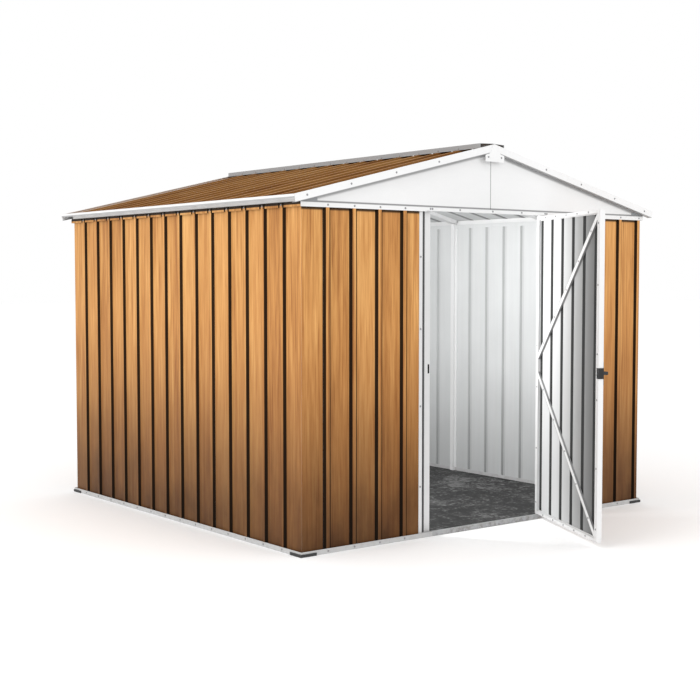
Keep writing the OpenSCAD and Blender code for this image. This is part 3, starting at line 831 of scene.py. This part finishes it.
class SHED_OT_finish_trims(bpy.types.Operator):
    """Paint rails, jambs, gables, trims and the inner frame."""

    bl_idname = "shed.finish_trims"
    bl_label = "Finish rails and trims"

    def execute(self, context):
        settings = context.scene.shed_finish
        white = list(settings.trim_colour)
        dress(painted("white_trim_paint", white, 0.38, 0.22, 0.0), "apex_plates")
        dress(painted("eave_paint", white, 0.38, 0.22, 0.0, lines=eave_lines), "left_eave_trim", "right_eave_trim")
        dress(painted("jamb_paint", [c * 0.9 for c in white], 0.38, 0.22, 0.2, lines=jamb_groove_shade), "left_jamb", "right_jamb")
        dress(painted("lintel_paint", white, 0.38, 0.2, 0.0, lines=lintel_fold_shade), "front_top_rail")
        dress(printed_steel("wood_print_rails", "rail", settings), "left_top_rail", "right_top_rail", "back_top_rail")
        dress(painted("gable_paint", white, 0.38, 0.2, 0.0, lines=gable_lines), "front_gable", "back_gable")
        dress(painted("rake_paint", white, 0.38, 0.2, 0.0, lines=rake_hem_shade), "front_rake_trims", "back_rake_trims")
        dress(
            painted("base_rail_paint", [c * 0.66 for c in white], 0.45, 0.3, 0.15),
            "front_base_rails", "back_base_rail", "left_base_rail", "right_base_rail",
        )
        dress(
            painted("door_frame_paint", [c * 0.94 for c in white], 0.36, 0.2, 0.1),
            "door_hinge_stile", "door_free_stile", "door_top_rail", "door_bottom_rail",
        )
        dress(painted("brace_paint", [c * 0.94 for c in white], 0.36, 0.2, 0.0, lines=brace_edge_shade), "door_braces")
        dress(
            painted("inner_frame_paint", [c * 0.96 for c in white], 0.42, 0.2, 0.1),
            "left_eave_beam", "right_eave_beam", "wall_posts", "front_rafter", "back_rafter",
        )
        dress(painted("ridge_grey_paint", list(settings.ridge_colour), 0.45, 0.6, 0.0), "ridge_cap")
        dress(painted("sill_metal", [0.48, 0.49, 0.50], 0.34, 0.8, 0.5, 0.35), "door_sill")
        return {"FINISHED"}


class SHED_OT_finish_floor(bpy.types.Operator):
    """Give the floor inside its dark mottled finish."""

    bl_idname = "shed.finish_floor"
    bl_label = "Finish floor"

    def execute(self, context):
        dress(floor_finish("mottled_floor", context.scene.shed_finish), "floor_panel")
        return {"FINISHED"}


class SHED_OT_finish_fittings(bpy.types.Operator):
    """Finish shoes, latch, pull and pins."""

    bl_idname = "shed.finish_fittings"
    bl_label = "Finish fittings"

    def execute(self, context):
        dress(moulded("shoe_plastic", (0.018, 0.018, 0.018), 0.5), "corner_shoes")
        dress(moulded("latch_plastic", (0.008, 0.008, 0.009), 0.24), "latch_strike", "door_handle")
        dress(plated("pin_plate", (0.62, 0.62, 0.63), 0.3), "door_pivots")
        return {"FINISHED"}


class SHED_OT_drive_screws(bpy.types.Operator):
    """Drive the screws of the shed and of its door."""

    bl_idname = "shed.drive_screws"
    bl_label = "Drive screws"

    def execute(self, context):
        sizes = context.scene.shed_screws
        steel = plated("screw_plate", (0.42, 0.42, 0.43), 0.38)
        tree = screw_tree(steel)
        drive_screws("shed_screws", "shed", rail_spots() + jamb_spots() + roof_spots(), tree, steel, sizes)
        drive_screws("door_screws", "door", door_spots(), tree, steel, sizes)
        return {"FINISHED"}


class SHED_OT_fold_brackets(bpy.types.Operator):
    """Lay the small plates that close the eave corners of the gables."""

    bl_idname = "shed.fold_brackets"
    bl_label = "Fold eave brackets"

    def execute(self, context):
        sizes = context.scene.shed_screws
        low, high = node_box("front_gable")
        length, tall, thick = sizes.bracket_length, sizes.bracket_height, 0.0016
        corners = []
        for side in (-1, 1):
            for end in (-1, 1):
                xs = sorted((side * (high.x - 0.001), side * (high.x - length)))
                ys = sorted((end * (-low.y), end * (-low.y + thick)))
                z = WALL_TOP + 0.0008
                corners.append(((xs[0], ys[0], z), (xs[1], ys[1], z + tall)))
        mesh = folded_angle("eave_brackets", corners)
        mesh.materials.append(painted("bracket_grey_paint", [0.30, 0.31, 0.32], 0.4, 0.5, 0.0))
        piece = bpy.data.objects.new("eave_brackets", mesh)
        context.scene.collection.objects.link(piece)
        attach(piece, "shed")
        return {"FINISHED"}


class SHED_OT_build_studio(bpy.types.Operator):
    """Lay a pale floor, hang soft lights and set the camera."""

    bl_idname = "shed.build_studio"
    bl_label = "Build studio"

    def execute(self, context):
        settings = context.scene.shed_studio
        floor = bpy.data.meshes.new("studio_floor")
        floor.from_pydata([(-60, -60, -0.0005), (60, -60, -0.0005), (60, 60, -0.0005), (-60, 60, -0.0005)], [], [(0, 1, 2, 3)])
        fin = Finish("studio_floor_paint")
        tone = settings.floor_tone
        soft = fin.noise(fin.place(), 0.6, 2.0)
        base = fin.mix(soft, [tone * 0.985] * 3, [tone] * 3)
        floor.materials.append(
            fin.surface(Base_Color=base, Roughness=0.9, Emission_Color=base, Emission_Strength=settings.floor_lift)
        )
        sheet = bpy.data.objects.new("studio_floor", floor)
        context.scene.collection.objects.link(sheet)

        world = bpy.data.worlds.new("studio_world")
        context.scene.world = world
        world.use_nodes = True
        back = world.node_tree.nodes["Background"]
        back.inputs[0].default_value = (1.0, 1.0, 1.0, 1.0)
        back.inputs[1].default_value = 1.0
        context.scene.view_settings.view_transform = "Standard"

        def area(name, place, target, size, power, colour=(1, 1, 1)):
            light = bpy.data.lights.new(name, "AREA")
            light.shape = "RECTANGLE"
            light.size, light.size_y = size
            light.energy = power
            light.color = colour
            lamp = bpy.data.objects.new(name, light)
            lamp.location = place
            lamp.visible_camera = False
            lamp.rotation_euler = (Vector(target) - Vector(place)).to_track_quat("-Z", "Y").to_euler()
            context.scene.collection.objects.link(lamp)

        area("key_light", (-7.5, -1.5, 5.2), (-0.5, 0, 1.0), (5.0, 4.0), settings.key_power)
        area("front_light", (2.0, -8.0, 4.6), (0.2, -1.0, 1.3), (5.0, 3.0), settings.front_power)
        area("inside_light", (-0.80, -0.62, 1.50), (1.1, 0.05, 1.15), (0.5, 0.5), settings.inside_power)

        data = bpy.data.cameras.new("shed_camera")
        data.sensor_width = 36.0
        data.lens = settings.camera_lens
        data.clip_end = 200.0
        camera = bpy.data.objects.new("shed_camera", data)
        camera.location = settings.camera_place
        camera.rotation_euler = (math.pi / 2 - settings.camera_dip, 0.0, -settings.camera_turn)
        context.scene.collection.objects.link(camera)
        context.scene.camera = camera
        return {"FINISHED"}


class SHED_PT_panel(bpy.types.Panel):
    """Every step of the shed, in order."""

    bl_idname = "SHED_PT_panel"
    bl_label = "Garden Shed"
    bl_space_type = "VIEW_3D"
    bl_region_type = "UI"
    bl_category = "Shed"

    def draw(self, context):
        column = self.layout.column()
        for step in STEPS:
            column.operator(step.bl_idname)
        for group in (context.scene.shed_finish, context.scene.shed_screws, context.scene.shed_studio):
            box = self.layout.box()
            for key in group.bl_rna.properties.keys():
                if key not in {"rna_type", "name"}:
                    box.prop(group, key)


STEPS = (
    SHED_OT_finish_sheets,
    SHED_OT_finish_trims,
    SHED_OT_finish_floor,
    SHED_OT_finish_fittings,
    SHED_OT_drive_screws,
    SHED_OT_fold_brackets,
    SHED_OT_build_studio,
)
GROUPS = (ShedFinishSettings, ShedScrewSettings, ShedStudioSettings)


def register():
    for item in (*GROUPS, *STEPS, SHED_PT_panel):
        bpy.utils.register_class(item)
    bpy.types.Scene.shed_finish = bpy.props.PointerProperty(type=ShedFinishSettings)
    bpy.types.Scene.shed_screws = bpy.props.PointerProperty(type=ShedScrewSettings)
    bpy.types.Scene.shed_studio = bpy.props.PointerProperty(type=ShedStudioSettings)


def unregister():
    del bpy.types.Scene.shed_finish, bpy.types.Scene.shed_screws, bpy.types.Scene.shed_studio
    for item in reversed((*GROUPS, *STEPS, SHED_PT_panel)):
        bpy.utils.unregister_class(item)


def main():
    register()
    bpy.ops.shed.finish_sheets()
    bpy.ops.shed.finish_trims()
    bpy.ops.shed.finish_floor()
    bpy.ops.shed.finish_fittings()
    bpy.ops.shed.drive_screws()
    bpy.ops.shed.fold_brackets()
    bpy.ops.shed.build_studio()
    bpy.context.view_layer.update()


if __name__ == "__main__":
    main()
